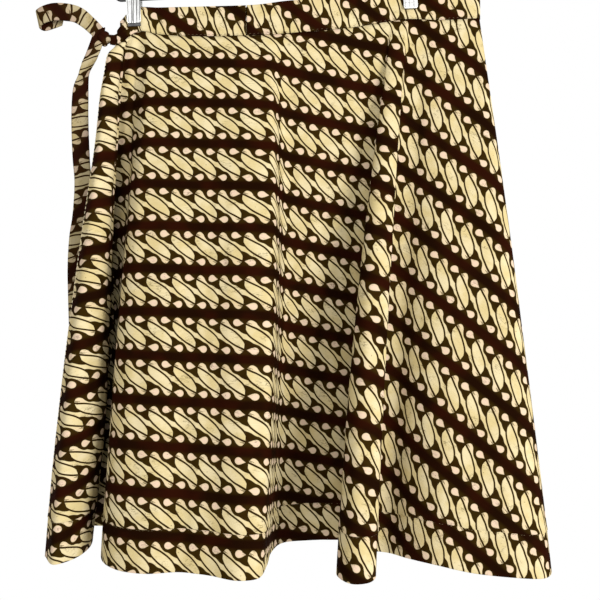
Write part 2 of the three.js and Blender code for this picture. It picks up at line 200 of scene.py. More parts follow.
def make_wear():
    """The node group: a noise that gives a colour, a roughness and a height."""
    group, entry, leaving = new_group(
        "uneven wear",
        [
            ("Place", VECTOR, None),
            ("Scale", FLOAT, 60),
            ("Clean", COLOUR, None),
            ("Worn", COLOUR, None),
            ("Roughness", FLOAT, 0.5),
        ],
        [("Color", COLOUR, None), ("Roughness", FLOAT, None), ("Height", FLOAT, None)],
    )
    spots = group.nodes.new("ShaderNodeTexNoise")
    spots.inputs["Detail"].default_value = WEAR_DETAIL
    group.links.new(entry.outputs["Place"], spots.inputs["Vector"])
    group.links.new(entry.outputs["Scale"], spots.inputs["Scale"])
    spot = Value(group, spots.outputs["Fac"])
    share = spot.ramp(*WEAR_RANGE)
    colour = blend_colours(group, share, entry.outputs["Clean"], entry.outputs["Worn"])
    rough = Value(group, entry.outputs["Roughness"]) + spot * WEAR_GLOSS - WEAR_GLOSSIEST
    group.links.new(colour, leaving.inputs["Color"])
    group.links.new(rough.socket, leaving.inputs["Roughness"])
    group.links.new(spot.socket, leaving.inputs["Height"])
    return group


wear = make_wear()


def worn_material(name, colour, worn, roughness, metallic=0.0, scale=60, depth=0.0001):
    """A finish that goes unevenly from one colour to another, with uneven gloss and a fine relief."""
    material = bpy.data.materials.new(name)
    material.use_nodes = True
    tree = material.node_tree
    shader = tree.nodes["Principled BSDF"]
    place = tree.nodes.new("ShaderNodeTexCoord")
    wearing = tree.nodes.new("ShaderNodeGroup")
    wearing.node_tree = wear
    tree.links.new(place.outputs["Object"], wearing.inputs["Place"])
    wearing.inputs["Scale"].default_value = scale
    wearing.inputs["Clean"].default_value = (*colour, 1)
    wearing.inputs["Worn"].default_value = (*worn, 1)
    wearing.inputs["Roughness"].default_value = roughness
    tree.links.new(wearing.outputs["Color"], shader.inputs["Base Color"])
    tree.links.new(wearing.outputs["Roughness"], shader.inputs["Roughness"])
    bump = tree.nodes.new("ShaderNodeBump")
    bump.inputs["Strength"].default_value = WEAR_RELIEF
    bump.inputs["Distance"].default_value = depth
    tree.links.new(wearing.outputs["Height"], bump.inputs["Height"])
    tree.links.new(bump.outputs["Normal"], shader.inputs["Normal"])
    shader.inputs["Metallic"].default_value = metallic
    return material


# %% The floor
FLOOR_Z = -1.5
FLOOR_RADIUS = 1.3
bm = bmesh.new()
bmesh.ops.create_circle(bm, cap_ends=True, segments=96, radius=FLOOR_RADIUS)
bmesh.ops.translate(bm, verts=bm.verts, vec=(0, 0, FLOOR_Z))
pale_floor = worn_material("pale floor", (0.8, 0.8, 0.79), (0.77, 0.77, 0.76), 0.6, scale=4)
floor = new_object("floor", bm, pale_floor, smooth=False)

# %% The light
ROOM_LIGHT = 0.72
world = bpy.data.worlds.new("bright room")
world.use_nodes = True
room = world.node_tree
seen = room.nodes.new("ShaderNodeLightPath")
level = room.nodes.new("ShaderNodeMapRange")
level.inputs["To Min"].default_value = ROOM_LIGHT
level.inputs["To Max"].default_value = 1.0
room.links.new(seen.outputs["Is Camera Ray"], level.inputs["Value"])
room.links.new(level.outputs["Result"], room.nodes["Background"].inputs["Strength"])
room.nodes["Background"].inputs["Color"].default_value = (1, 1, 1, 1)
bpy.context.scene.world = world
LAMP_TARGET = Vector((0.02, 0, -0.45))


def add_lamp(name, place, size, watts):
    """A soft square lamp that shines at the skirt."""
    lamp = bpy.data.lights.new(name, "AREA")
    lamp.size = size
    lamp.energy = watts
    made = bpy.data.objects.new(name, lamp)
    made.location = place
    made.rotation_euler = (LAMP_TARGET - Vector(place)).to_track_quat("-Z", "Y").to_euler()
    bpy.context.collection.objects.link(made)


add_lamp("key lamp", (2.4, -2.4, -0.2), 1.2, 122)
add_lamp("fill lamp", (-0.3, -2.4, 0.2), 1.4, 18)

# %% [markdown]
# ## Smooth lines through the folds
# The frame's solids were lofted through a row of named folds, each one straight line of the cloth
# from the waist seam to the hem. The same rows and the same smooth line through them give each
# sheet its place here, with many more columns, so the folds are round. Sizes are in millimetres.

# %% The folds of the three panels
HEM_Z = -722
HEM_TURN = 42

# x, waist seam, band's top at the front, band's top at the back
WAIST_EDGE = [
    (-173, -164, -150, -141),
    (-167, -161, -142, -135),
    (-160, -156, -136, -127),
    (-152, -151, -124, -122),
    (-144, -149, -122.5, -121),
    (-124, -153, -123, -122),
    (-74, -156, -123, -123),
    (-18, -155, -121.5, -122),
    (18, -153, -117, -118),
    (88, -146, -111, -111),
    (121, -140, -107, -107),
    (153, -135.5, -103, -103),
    (188, -137, -103.5, -103.5),
    (237, -135, -100, -100),
]

# fold, waist x, waist y, hem x, hem y, drop of the hem, sideways bow
OUTER_FRONT = [
    ("free edge", -172, -2.7, -241, -35, 1, -9),
    ("side flute, crest", -168, -2.7, -223, -61, 0, -6),
    ("side flute, face", -161, -2.7, -208, -46, 0, 0),
    ("side flute, right edge", -154, -2.7, -201, -16, 0, 3),
    ("side flute, right wall", -153.3, -2.7, -205, 14, -1, 0),
    ("side pocket", -152.8, -2.7, -215, 34, -2, -4),
    ("side pocket, end", -152.4, -2.7, -227, 45, -3, -4),
    ("side pocket, back", -152, -2.7, -219, 55, -3, -4),
    ("side valley", -151.5, -2.7, -203, 55, -3, -4),
    ("side valley, right", -150.5, -2.7, -194, 40, -3, -4),
    ("side valley, right wall", -148.5, -2.7, -187, 4, -2, -4),
    ("left panel, edge", -146, -2.7, -181, -36, 0, -4),
    ("left panel, shoulder", -139, -2.7, -169, -61, 0, -2),
    ("left panel, crest", -128, -3.1, -149, -76, 1, -3),
    ("left panel, crest end", -108, -4.5, -122, -83, 1, 0),
    ("left panel, dip", -80, -6, -90, -81, 0, 0),
    ("left panel, second rise", -50, -7, -58, -90, 0, 0),
    ("left panel, second crest", -22, -7.2, -30, -103, 0, 3),
    ("centre crease, front", -4, -7.2, -10, -98, 0, 8),
    ("centre crease, wall", 2, -7.2, -3, -66, 0, 8),
    ("centre crease, wall back", 7, -7.2, 1, -26, -1, 6),
    ("recess, left", 14, -7.2, 13, 0, -2, 3),
    ("recess", 40, -6.6, 40, 5, -3, 0),
    ("recess, middle", 75, -5.6, 66, 7, -3, 0),
    ("recess, right", 108, -3.8, 90, 6, -2, -2),
    ("flute, left root", 131, -2.9, 101, -12, -1, -3),
    ("flute, left wall", 134, -2.7, 87, -46, 0, -5),
    ("flute, left edge", 137, -2.7, 69, -82, 2, -8),
    ("flute, crown", 140.5, -2.7, 82, -103, 3, -6),
    ("flute, crown right", 145, -2.7, 99, -101, 3, -3),
    ("flute, right edge", 150, -2.7, 107, -91, 2, -2),
    ("flute, right wall", 152.5, -2.7, 101, -58, 0, -3),
    ("flute, right root", 154.5, -2.7, 102, -26, 0, -4),
    ("flute, right root floor", 158, -2.7, 112, -13, 3, -3),
    ("right panel, start", 165, -2.7, 128, -14, 4, -1),
    ("right panel, left", 178, -3.3, 147, -34, 3, 0),
    ("right panel, middle", 198, -4.2, 176, -52, 4, 2),
    ("right panel, right", 214, -4.6, 212, -58, 10, 3),
    ("right panel, crest", 224, -4.4, 253, -62, 13, 4),
    ("side fold, front", 229.5, -3.4, 287, -56, 16, 3),
    ("side fold", 232, -1.9, 300, -38, 17, 3),
    ("side fold, end", 232.5, -0.8, 302, -20, 17, 3),
    ("side seam", 232.5, -0.15, 302, -12.15, 17, 3),
]
BACK = [
    ("side seam", 232.5, 0.15, 302, -11.85, 17, 3),
    ("side fold, end", 232.5, 0.8, 302, -4, 17, 3),
    ("side turn", 232, 1.9, 301, 26, 17, 3),
    ("side", 228, 3.6, 289, 66, 14, 3),
    ("first flute", 220, 4.3, 266, 100, 10, 3),
    ("first flute, crest", 204, 4.2, 239, 112, 7, 1),
    ("first valley", 186, 3.3, 211, 92, 4, 0),
    ("first valley, floor", 168, 2.7, 189, 80, 3, 0),
    ("second flute", 154, 2.7, 168, 98, 2, 0),
    ("second flute, crest", 140, 2.9, 152, 122, 3, 3),
    ("second flute, shoulder", 120, 4, 130, 124, 3, 2),
    ("second valley", 98, 5.2, 108, 98, 1, 0),
    ("second valley, floor", 78, 5.9, 85, 84, 0, 0),
    ("third flute", 56, 6.6, 62, 92, 0, 0),
    ("third flute, crest", 36, 7, 40, 104, 1, 0),
    ("third valley", 14, 7.2, 14, 88, 0, 0),
    ("third valley, floor", -8, 7.2, -10, 80, 0, 0),
    ("fourth flute", -28, 7, -36, 104, 1, -2),
    ("fourth flute, crest", -42, 6.8, -52, 130, 2, -4),
    ("fourth flute, shoulder", -58, 6.2, -72, 131, 2, -3),
    ("fourth valley", -74, 5.4, -90, 106, 1, 0),
    ("fourth valley, floor", -94, 4.4, -116, 86, 0, 0),
    ("fifth flute", -118, 3.3, -142, 94, 0, 0),
    ("fifth flute, crest", -138, 2.7, -168, 116, 1, -2),
    ("fifth flute, shoulder", -150, 2.7, -190, 116, 1, -3),
    ("fifth valley", -158, 2.7, -214, 98, 0, -3),
    ("left side", -166, 2.7, -240, 96, 0, -4),
    ("left turn", -171, 2.5, -259, 84, 0, -4),
    ("left turn, end", -171.8, 1.9, -264, 69, 0, -4),
    ("left seam", -171.8, 1.5, -264, 64.15, 0, -4),
]
UNDER_FRONT = [
    ("left seam", -171.8, 1.2, -264, 63.85, 0, -4),
    ("left turn, end", -171.8, 0.8, -264, 61, 0, -4),
    ("left turn", -171, 0.2, -261, 56, 0, -4),
    ("left side", -167, 0, -250, 57, 0, -4),
    ("behind the side pocket", -160, 0, -228, 67, 0, -4),
    ("behind the side valley", -148, 0, -196, 66, 0, -4),
    ("behind the left panel", -126, -0.2, -158, 42, 0, -2),
    ("first flute", -88, -1.4, -116, 26, 0, 0),
    ("first valley", -48, -2.6, -62, 38, 0, 0),
    ("second flute", -4, -3.2, -6, 26, 0, 0),
    ("behind the recess", 36, -2.6, 40, 34, 0, 0),
    ("free edge", 62, -2, 72, 30, 0, 0),
]

# where cloth is pushed off its straight lines: waist x and half width, fall and half height, dx, dy
PUSHED = [
    (-172, 8, 0.025, 0.03, -3, 0),
    (-168, 16, 0.08, 0.09, -6, -2),
    (-152, 6, 0.78, 0.16, 4, 0),
    (-168, 6, 0.2, 0.2, 0, -10),
    (-154.5, 4, 0.24, 0.3, -11, 8),
    (-151.3, 2.5, 0.24, 0.24, 0, -8),
    (-145, 7, 0.22, 0.22, 0, 6),
    (-154, 5, 0.6, 0.25, -3, 10),
    (-147, 3.5, 0.42, 0.26, 4, 7),
]

# soft creases: waist x, half width, middle fall, half length, how far it stands out
FRONT_CREASES = [
    (-166, 3, 0.42, 0.16, 1.2),
    (-161, 2.5, 0.66, 0.2, -1.3),
    (-141, 4, 0.13, 0.12, -1.6),
    (-131, 5, 0.3, 0.2, 1.1),
    (-122, 6, 0.72, 0.25, -1.2),
    (-98, 7, 0.22, 0.18, -0.9),
    (-92, 5, 0.6, 0.3, 0.9),
    (-66, 6, 0.85, 0.2, 1.2),
    (-61, 4, 0.35, 0.22, -1.0),
    (-38, 5, 0.55, 0.34, 1.1),
    (-27, 4, 0.16, 0.14, 0.9),
    (-12, 3, 0.78, 0.2, -1.0),
    (22, 5, 0.2, 0.2, -1.1),
    (46, 6, 0.45, 0.25, 1.2),
    (63, 5, 0.75, 0.2, -1.4),
    (88, 7, 0.3, 0.24, 0.9),
    (141, 3, 0.55, 0.2, 1.0),
    (147, 2.5, 0.3, 0.16, -0.8),
    (171, 4, 0.2, 0.18, -1.0),
    (187, 6, 0.62, 0.26, 1.1),
    (203, 5, 0.28, 0.2, -0.9),
    (219, 5, 0.8, 0.2, -1.3),
]
BACK_CREASES = [
    (212, 6, 0.5, 0.3, 1.3),
    (176, 5, 0.25, 0.2, -1.2),
    (131, 7, 0.7, 0.25, -1.4),
    (88, 6, 0.35, 0.25, 1.0),
    (47, 5, 0.75, 0.2, 1.2),
    (4, 6, 0.3, 0.2, -1.1),
    (-49, 5, 0.6, 0.3, -1.3),
    (-85, 7, 0.2, 0.18, 1.0),
    (-128, 5, 0.8, 0.2, 1.3),
    (-160, 4, 0.4, 0.25, -1.2),
]
UNDER_CREASES = [(-112, 7, 0.5, 0.3, -1.2), (-66, 5, 0.3, 0.2, 1.0), (18, 6, 0.7, 0.25, -1.1)]

# the hem's own line of stitches takes up a little cloth, in millimetres
TUCK_TAKES = 4
TUCK_FALL = 0.927
print("folds:", len(OUTER_FRONT), len(BACK), len(UNDER_FRONT))

# %% A smooth line through points


def smooth_point(points, share):
    """The point at that share of a centripetal Catmull-Rom line through the points."""
    last = len(points) - 1
    place = last * min(max(share, 0), 1)
    i = min(int(place), last - 1)
    w = place - i
    p1, p2 = points[i], points[i + 1]
    p0 = points[i - 1] if i > 0 else 2 * p1 - p2
    p3 = points[i + 2] if i + 2 <= last else 2 * p2 - p1
    d1 = math.sqrt((p2 - p1).length) or 1
    d0 = math.sqrt((p1 - p0).length) or d1
    d2 = math.sqrt((p3 - p2).length) or d1
    t1 = ((p1 - p0) / d0 - (p2 - p0) / (d0 + d1) + (p2 - p1) / d1) * d1
    t2 = ((p2 - p1) / d1 - (p3 - p1) / (d1 + d2) + (p3 - p2) / d2) * d1
    curve = (-3 * p1 + 3 * p2 - 2 * t1 - t2) * w * w + (2 * p1 - 2 * p2 + t1 + t2) * w**3
    return p1 + t1 * w + curve


def row_before(rows, x):
    """The last row at or before place x, and how far x lies towards the next, from 0 to 1."""
    x = min(max(x, rows[0][0]), rows[-1][0])
    k = min(max(n for n, row in enumerate(rows) if row[0] <= x), len(rows) - 2)
    return k, (x - rows[k][0]) / (rows[k + 1][0] - rows[k][0])


def edge_height(x, column):
    """The height of one line of WAIST_EDGE above x: 1 is the seam, 2 and 3 the band's tops."""
    rows = WAIST_EDGE
    i, t = row_before(rows, x)

    def slope(k):
        before, after = rows[max(0, k - 1)], rows[min(len(rows) - 1, k + 1)]
        return (after[column] - before[column]) / (after[0] - before[0])

    span = rows[i + 1][0] - rows[i][0]
    rise = rows[i + 1][column] - rows[i][column]
    start, end = slope(i) * span, slope(i + 1) * span
    bend = t * t * (3 - 2 * t) * rise + t * (1 - t) ** 2 * start - t * t * (1 - t) * end
    return rows[i][column] + bend


print("seam under the left clip:", round(edge_height(-152, 1), 1))

# %% [markdown]
# ## How the cloth was cut
# The print runs straight on the cloth before it is cut, and it turns with each fold once the
# skirt hangs. So each panel is laid out flat again: its lines from waist to hem are put down one
# after another at their true distances, as triangles. The places on that flat cloth are the
# sheet's UV map, in metres, and the print is drawn on it.

# %% A panel and its flat cut


def distances(points):
    """How far along the line through the points each of them lies."""
    way = [0.0]
    for a, b in zip(points, points[1:]):
        way.append(way[-1] + (b - a).length)
    return way


def flat_corner(a, b, from_a, from_b):
    """The point at these distances from a and b, on the left of the way from a to b."""
    along = b - a
    length = along.length
    reach = (from_a**2 - from_b**2 + length**2) / (2 * length)
    side = math.sqrt(max(0, from_a**2 - reach**2))
    along.normalize()
    return a + along * reach + Vector((-along.y, along.x)) * side


FINE_STEPS = 2000
PUSH_START = 50
NEAR_COLUMNS = 2
NEAR_FALL = 0.02


class Panel:
    """A panel of the skirt: its lines from waist to hem, hung and laid flat, column by column."""

    def __init__(self, folds, columns, creases=(), taken_up=(), pushed=()):
        self.columns = columns
        self.creases = creases
        self.pushed = pushed
        waist = [Vector((f[1], f[2], 0)) for f in folds]
        hem = [Vector((f[3], f[4], HEM_Z - f[5])) for f in folds]
        bow = [Vector((i, f[6], 0)) for i, f in enumerate(folds)]
        fine = [smooth_point(hem, i / FINE_STEPS) for i in range(FINE_STEPS + 1)]
        way = distances(fine)
        self.shares = []
        k = 0
        for i in range(columns + 1):
            wanted = way[-1] * i / columns
            while k < FINE_STEPS - 1 and way[k + 1] < wanted:
                k += 1
            step = max(way[k + 1] - way[k], 1e-9)
            self.shares.append(min(1, (k + (wanted - way[k]) / step) / FINE_STEPS))
        self.waist = []
        self.hem = [smooth_point(hem, s) for s in self.shares]
        self.bow = [smooth_point(bow, s).y for s in self.shares]
        for s in self.shares:
            p = smooth_point(waist, s)
            self.waist.append(Vector((p.x, p.y, edge_height(p.x, 1))))
        self.lay_flat(taken_up)

    def lay_flat(self, taken_up):
        """Unrolls the panel. taken_up gives waist places where a hidden pleat takes more cloth."""
        self.flat_waist = [Vector((0, 0))]
        self.flat_hem = [Vector((0, -(self.waist[0] - self.hem[0]).length))]
        for i in range(self.columns):
            w0, w1, h0, h1 = self.waist[i], self.waist[i + 1], self.hem[i], self.hem[i + 1]
            here = self.flat_waist[-1]
            below = flat_corner(here, self.flat_hem[-1], (w0 - h1).length, (h0 - h1).length)
            above = flat_corner(here, below, (w0 - w1).length, (h1 - w1).length)
            for place, degrees in taken_up:
                if (w0.x - place) * (w1.x - place) <= 0 and w0.x != w1.x:
                    turn = Matrix.Rotation(math.radians(degrees), 2)
                    below = here + turn @ (below - here)
                    above = here + turn @ (above - here)
            self.flat_hem.append(below)
            self.flat_waist.append(above)

    def turn_flat(self, place, fall, wanted):
        """Turns the flat cut so that the print's rows cross the front at the wanted angle there."""
        i = min(range(self.columns), key=lambda k: abs(self.waist[k].x - place))
        before, after = i - NEAR_COLUMNS, i + NEAR_COLUMNS
        higher, lower = fall - NEAR_FALL, fall + NEAR_FALL
        along = self.point(after, fall) - self.point(before, fall)
        down = self.point(i, lower) - self.point(i, higher)
        flat_along = self.laid(after, fall) - self.laid(before, fall)
        flat_down = self.laid(i, lower) - self.laid(i, higher)
        # the row's way as a mix of along and down
        slope = math.tan(math.radians(wanted))
        mix = (slope * along.x - along.z) / (down.z - slope * down.x)
        row = flat_along + flat_down * mix
        turn = Matrix.Rotation(-math.atan2(row.y, row.x), 2)
        middle = self.laid(i, fall)
        self.flat_waist = [turn @ (p - middle) for p in self.flat_waist]
        self.flat_hem = [turn @ (p - middle) for p in self.flat_hem]

    def point(self, i, fall):
        """A point of column i, from 0 at the waist seam to 1 at the hem, in millimetres."""
        p = self.waist[i].lerp(self.hem[i], fall)
        p.x += 4 * fall * (1 - fall) * self.bow[i]
        for place, reach, middle, height, dx, dy in self.pushed:
            aside, along = (self.waist[i].x - place) / reach, (fall - middle) / height
            share = math.exp(-(aside**2) - along**2)
            p += Vector((dx, dy, 0)) * share * min(1, fall * PUSH_START)
        return p

    def laid(self, i, fall):
        """The place of that point on the unrolled panel, in millimetres."""
        return self.flat_waist[i] + (self.flat_hem[i] - self.flat_waist[i]) * fall

    def flat(self, i, fall):
        """The same place on the print, which skips the cloth in the hem's tuck."""
        spot = self.laid(i, fall)
        if fall > TUCK_FALL:
            spot += (self.flat_hem[i] - self.flat_waist[i]).normalized() * TUCK_TAKES
        return spot

    def normal(self, i, fall):
        """The unit normal there. It points towards the wearer."""
        along = self.point(min(i + 1, self.columns), fall) - self.point(max(i - 1, 0), fall)
        down = self.hem[i] - self.waist[i]
        return along.cross(down).normalized()


# waist x and degrees of cloth in a pleat that is hidden behind the flute
PLEATS = [(133, 5)]
# waist x, fall and how many degrees the print's rows rise to the right there
ROWS_AT = (-63, 0.4, -1.8)
outer = Panel(OUTER_FRONT, 360, FRONT_CREASES, PLEATS, PUSHED)
back = Panel(BACK, 240, BACK_CREASES)
under = Panel(UNDER_FRONT, 130, UNDER_CREASES)
outer.turn_flat(*ROWS_AT)
for name, panel in (("outer front", outer), ("back", back), ("under front", under)):
    print(name, "hem", round(distances(panel.hem)[-1]), "mm")

# %% [markdown]
# ## The batik print
# Slanted rows of leaves run across the cloth, and a thin light ribbon folds itself like an N
# between each leaf and the next. Wax kept these parts pale while the ground was dyed almost
# black. A picture of it isn't needed: one leaf cell is described by a few curves, and the
# cloth's own flat coordinates are folded into that cell.

# %% Unevenness


def uneven(tree, place, scale, detail=2.0, rough=0.5, stretch=(1, 1, 1)):
    """A noise over the cloth, from 0 to 1, and its colour socket."""
    mapping = tree.nodes.new("ShaderNodeMapping")
    mapping.inputs["Scale"].default_value = stretch
    tree.links.new(place, mapping.inputs["Vector"])
    node = tree.nodes.new("ShaderNodeTexNoise")
    node.noise_dimensions = "3D"
    node.inputs["Scale"].default_value = scale
    node.inputs["Detail"].default_value = detail
    node.inputs["Roughness"].default_value = rough
    tree.links.new(mapping.outputs["Vector"], node.inputs["Vector"])
    return Value(tree, node.outputs["Fac"]), node.outputs["Color"]


# %% One leaf cell
LEAF_PITCH = 0.0258  # from leaf to leaf, in metres; the rest is in leaf pitches
ROW_PITCH = 1.8
ROW_SHIFT = 0.16  # how far each row is shifted along the next
LEAF_TIP = 0.485  # half a leaf's height
LEAF_FOOT = 0.48  # where the curve of a leaf's edge starts, below its middle
LEAF_HEIGHT = 0.97
LEAF_REACH = 0.535
LEAF_BEND = 1.065
LINE = 0.072  # the dark line between leaf and ribbon
LINE_BEND = 1.45
RIBBON_FOOT = 0.07  # the slanted line at which the ribbon's two halves meet
RIBBON_SLANT = 0.3
RIBBON_PIVOT = 0.4
TICKS = (0.05, 0.12)  # fine dark lines along the ribbon
TICK_HALF = 0.02
TICK_END = 0.43
DOT = 0.14  # the radius of a dot, which is drawn out to a point on one side
DOT_POINT = 0.25
DOT_PLACE = (0.155, 0.56)
DOT_LEAN = 0.12
# the upper edge of the ribbon in its cell: place, height
RIBBON_TOP = [
    (-0.5, 0.52),
    (-0.44, 0.62),
    (-0.36, 0.68),
    (-0.21, 0.62),
    (-0.11, 0.47),
    (0.03, 0.33),
    (0.19, 0.27),
    (0.37, 0.15),
    (0.5, 0.10),
]


def leaf_right(y, reach=LEAF_REACH, bend=LEAF_BEND):
    """The right edge of a leaf at height y in its cell, in leaf pitches."""
    t = (y + LEAF_FOOT) / LEAF_HEIGHT
    return reach - t * t * bend


def ribbon_top(tree, x):
    """The upper edge of the ribbon above x."""
    node = tree.nodes.new("ShaderNodeFloatCurve")
    curve = node.mapping.curves[0]
    curve.points[0].location = (0, RIBBON_TOP[0][1])
    curve.points[1].location = (1, RIBBON_TOP[-1][1])
    for place, height in RIBBON_TOP[1:-1]:
        curve.points.new(place + 0.5, height)
    node.mapping.update()
    tree.links.new((x + 0.5).socket, node.inputs["Value"])
    return Value(tree, node.outputs["Value"])


def half_cell(tree, x, y):
    """How far inside the ribbon and the dot a point lies, for the upper half of the cell."""
    top = ribbon_top(tree, x)
    over_leaf = x - leaf_right(y, LEAF_REACH + LINE, LEAF_BEND - LINE * LINE_BEND)
    over_foot = y + RIBBON_FOOT + (x - RIBBON_PIVOT) * RIBBON_SLANT
    ribbon = (top - y).least(over_leaf).least(over_foot)
    for tick in TICKS:
        ribbon = ribbon.least(((over_leaf - tick).size() - TICK_HALF).most(x + TICK_END - tick))
    aside, above = x - DOT_PLACE[0], y - DOT_PLACE[1]
    round_part = DOT - (aside * aside + above * above).root()
    slant = DOT / DOT_POINT
    across = (above + aside * DOT_LEAN).size() * math.sqrt(1 - slant * slant)
    point = ((DOT_POINT - aside) * slant - across).least(aside - DOT * slant)
    return ribbon, round_part.most(point)


# %% The dye and the wax
GROUND = (0.0082, 0.0022, 0.0003)
GROUND_WARM = (0.0165, 0.0028, 0.0006)
LEAF_PALE = (0.565, 0.475, 0.28)
LEAF_DEEP = (0.5, 0.4, 0.192)
PINK = (0.58, 0.43, 0.32)
OLIVE = (0.045, 0.028, 0.004)
OLIVE_GROUND = (0.025, 0.0135, 0.0014)
# unevenness of the hand, the dye and the wax: scale, detail, roughness and stretch
WANDER = (55, 1.5)
HAND_SLACK = 0.08
FINE_SPECKS = (330, 3, 0.6)
CRACKS = (190, 4, 0.62, (0.45, 1.3, 1))
CRACKED_PLACES = (60, 2)
HALOS = (90, 2)
LEAF_SHADES = (42, 3, 0.55)
WARM_PLACES = (26, 2)
CRACK_FINENESS = 30
HALO_REACH = 0.8
ROSY_EDGE = 0.3


def make_print():
    """The node group: rows of leaf cells, with cracked wax and uneven dye."""
    group, entry, leaving = new_group(
        "batik print",
        [("Cloth", VECTOR, None), ("Slack", FLOAT, HAND_SLACK)],
        [("Color", COLOUR, None), ("Wax", FLOAT, None), ("Height", FLOAT, None)],
    )
    links = group.links
    place = entry.outputs["Cloth"]
    slack = Value(group, entry.outputs["Slack"])
    split = group.nodes.new("ShaderNodeSeparateXYZ")
    links.new(place, split.inputs["Vector"])
    u, v = Value(group, split.outputs["X"]), Value(group, split.outputs["Y"])

    # the hand that drew it was never quite even
    wander = group.nodes.new("ShaderNodeSeparateColor")
    links.new(uneven(group, place, *WANDER)[1], wander.inputs["Color"])
    x = u / LEAF_PITCH + (Value(group, wander.outputs["Red"]) - 0.5) * slack
    y = v / LEAF_PITCH + (Value(group, wander.outputs["Green"]) - 0.5) * slack

    row = (y / ROW_PITCH + 0.5).floor()
    y = y - row * ROW_PITCH
    x = x + row * ROW_SHIFT
    column = (x + 0.5).floor()
    x = x - column

    leaf = (leaf_right(y) - x).least(x + leaf_right(-y)).least(LEAF_TIP - y.size())
    upper_ribbon, upper_dot = half_cell(group, x, y)
    lower_ribbon, lower_dot = half_cell(group, -x, -y)
    ribbon = upper_ribbon.most(lower_ribbon)
    dot = upper_dot.most(lower_dot)
    nearest = leaf.most(ribbon).most(dot)
    wax = nearest.soft(-0.01, 0.01)

    # fine cracks where the wax broke, and specks of dye that came through it
    fine = uneven(group, place, *FINE_SPECKS)[0]
    broken = uneven(group, place, *CRACKS)[0]
    where = uneven(group, place, *CRACKED_PLACES)[0].soft(0.5, 0.68)
    crack = (1 - ((broken - 0.5).size() * CRACK_FINENESS).soft(0.1, 0.75)) * where
    speck = fine.soft(0.66, 0.73)
    halo_strength = uneven(group, place, *HALOS)[0].soft(0.3, 0.6) * 0.4 + 0.5
    halo = (HALO_REACH - y.size()).soft(0, 0.2) * halo_strength

    # leaves go from pale to deep, and the dots and the ribbon's ends are rosy
    shade = uneven(group, place, *LEAF_SHADES)[0].soft(0.36, 0.64)
    pale = blend_colours(group, shade, LEAF_PALE, LEAF_DEEP)
    rosy_ribbon = (y.size() - ROSY_EDGE).soft(0, 0.25) * (1 - leaf.soft(-0.02, 0.01))
    rosy = dot.soft(-0.03, 0.02) * 0.5 + rosy_ribbon * 0.4
    pale = blend_colours(group, rosy, pale, PINK)
    edge = 1 - nearest.soft(0.0, 0.05)
    pale = blend_colours(group, edge * 0.45, pale, LEAF_DEEP)
    worn = (crack * 0.75).most(speck * 0.7)
    pale = blend_colours(group, worn, pale, OLIVE)
    warm = uneven(group, place, *WARM_PLACES)[0].soft(0.4, 0.66)
    dark = blend_colours(group, warm, GROUND, GROUND_WARM)
    dark = blend_colours(group, halo, dark, OLIVE_GROUND)
    colour = blend_colours(group, wax, dark, pale)

    links.new(colour, leaving.inputs["Color"])
    links.new(wax.socket, leaving.inputs["Wax"])
    links.new((wax * 0.4 + fine * 0.3).socket, leaving.inputs["Height"])
    return group


batik = make_print()
print("nodes in the print:", len(batik.nodes))

# %% [markdown]
# ## Woven cotton
# The cloth is a plain weave of fine threads, so close up it has a tiny over-and-under relief
# and a soft, almost glossless surface. Every cloth material uses this group.

# %% The weave
THREAD = 0.00042
SLUBS = (700, 2, 0.5, (0.15, 1, 1))


def make_weave():
    """The node group: the threads' relief and the tone that thicker threads give."""
    group, entry, leaving = new_group(
        "cotton weave", [("Cloth", VECTOR, None)], [("Height", FLOAT, None), ("Tone", FLOAT, None)]
    )
    split = group.nodes.new("ShaderNodeSeparateXYZ")
    group.links.new(entry.outputs["Cloth"], split.inputs["Vector"])
    turn = 2 * math.pi / THREAD
    warp = (Value(group, split.outputs["X"]) * turn).math("SINE")
    weft = (Value(group, split.outputs["Y"]) * turn).math("SINE")
    height = (warp * weft + 1) * 0.5
    slub = uneven(group, entry.outputs["Cloth"], *SLUBS)[0]
    group.links.new((height * 0.7 + slub * 0.5).socket, leaving.inputs["Height"])
    group.links.new((slub * 0.5 + height * 0.2 + 0.65).socket, leaving.inputs["Tone"])
    return group


weave = make_weave()
# the panels' wrong side is browned and darkened toward this dye, and the tie and its neck are darkened
# toward it as painted shade
DULL_AND_SHADE_DYE = (0.025, 0.006, 0.0035)
DULLS_AND_SHADES_WAX = 0.05  # how much more the wax's pale parts are dulled than the ground
WEAVE_TINT = 0.35
PRINT_RELIEF = 0.5
CLOTH_ROUGHNESS = 0.72
CLOTH_RELIEF = 0.35
CLOTH_RELIEF_DEPTH = 0.00012
CLOTH_SPECULAR = 0.015


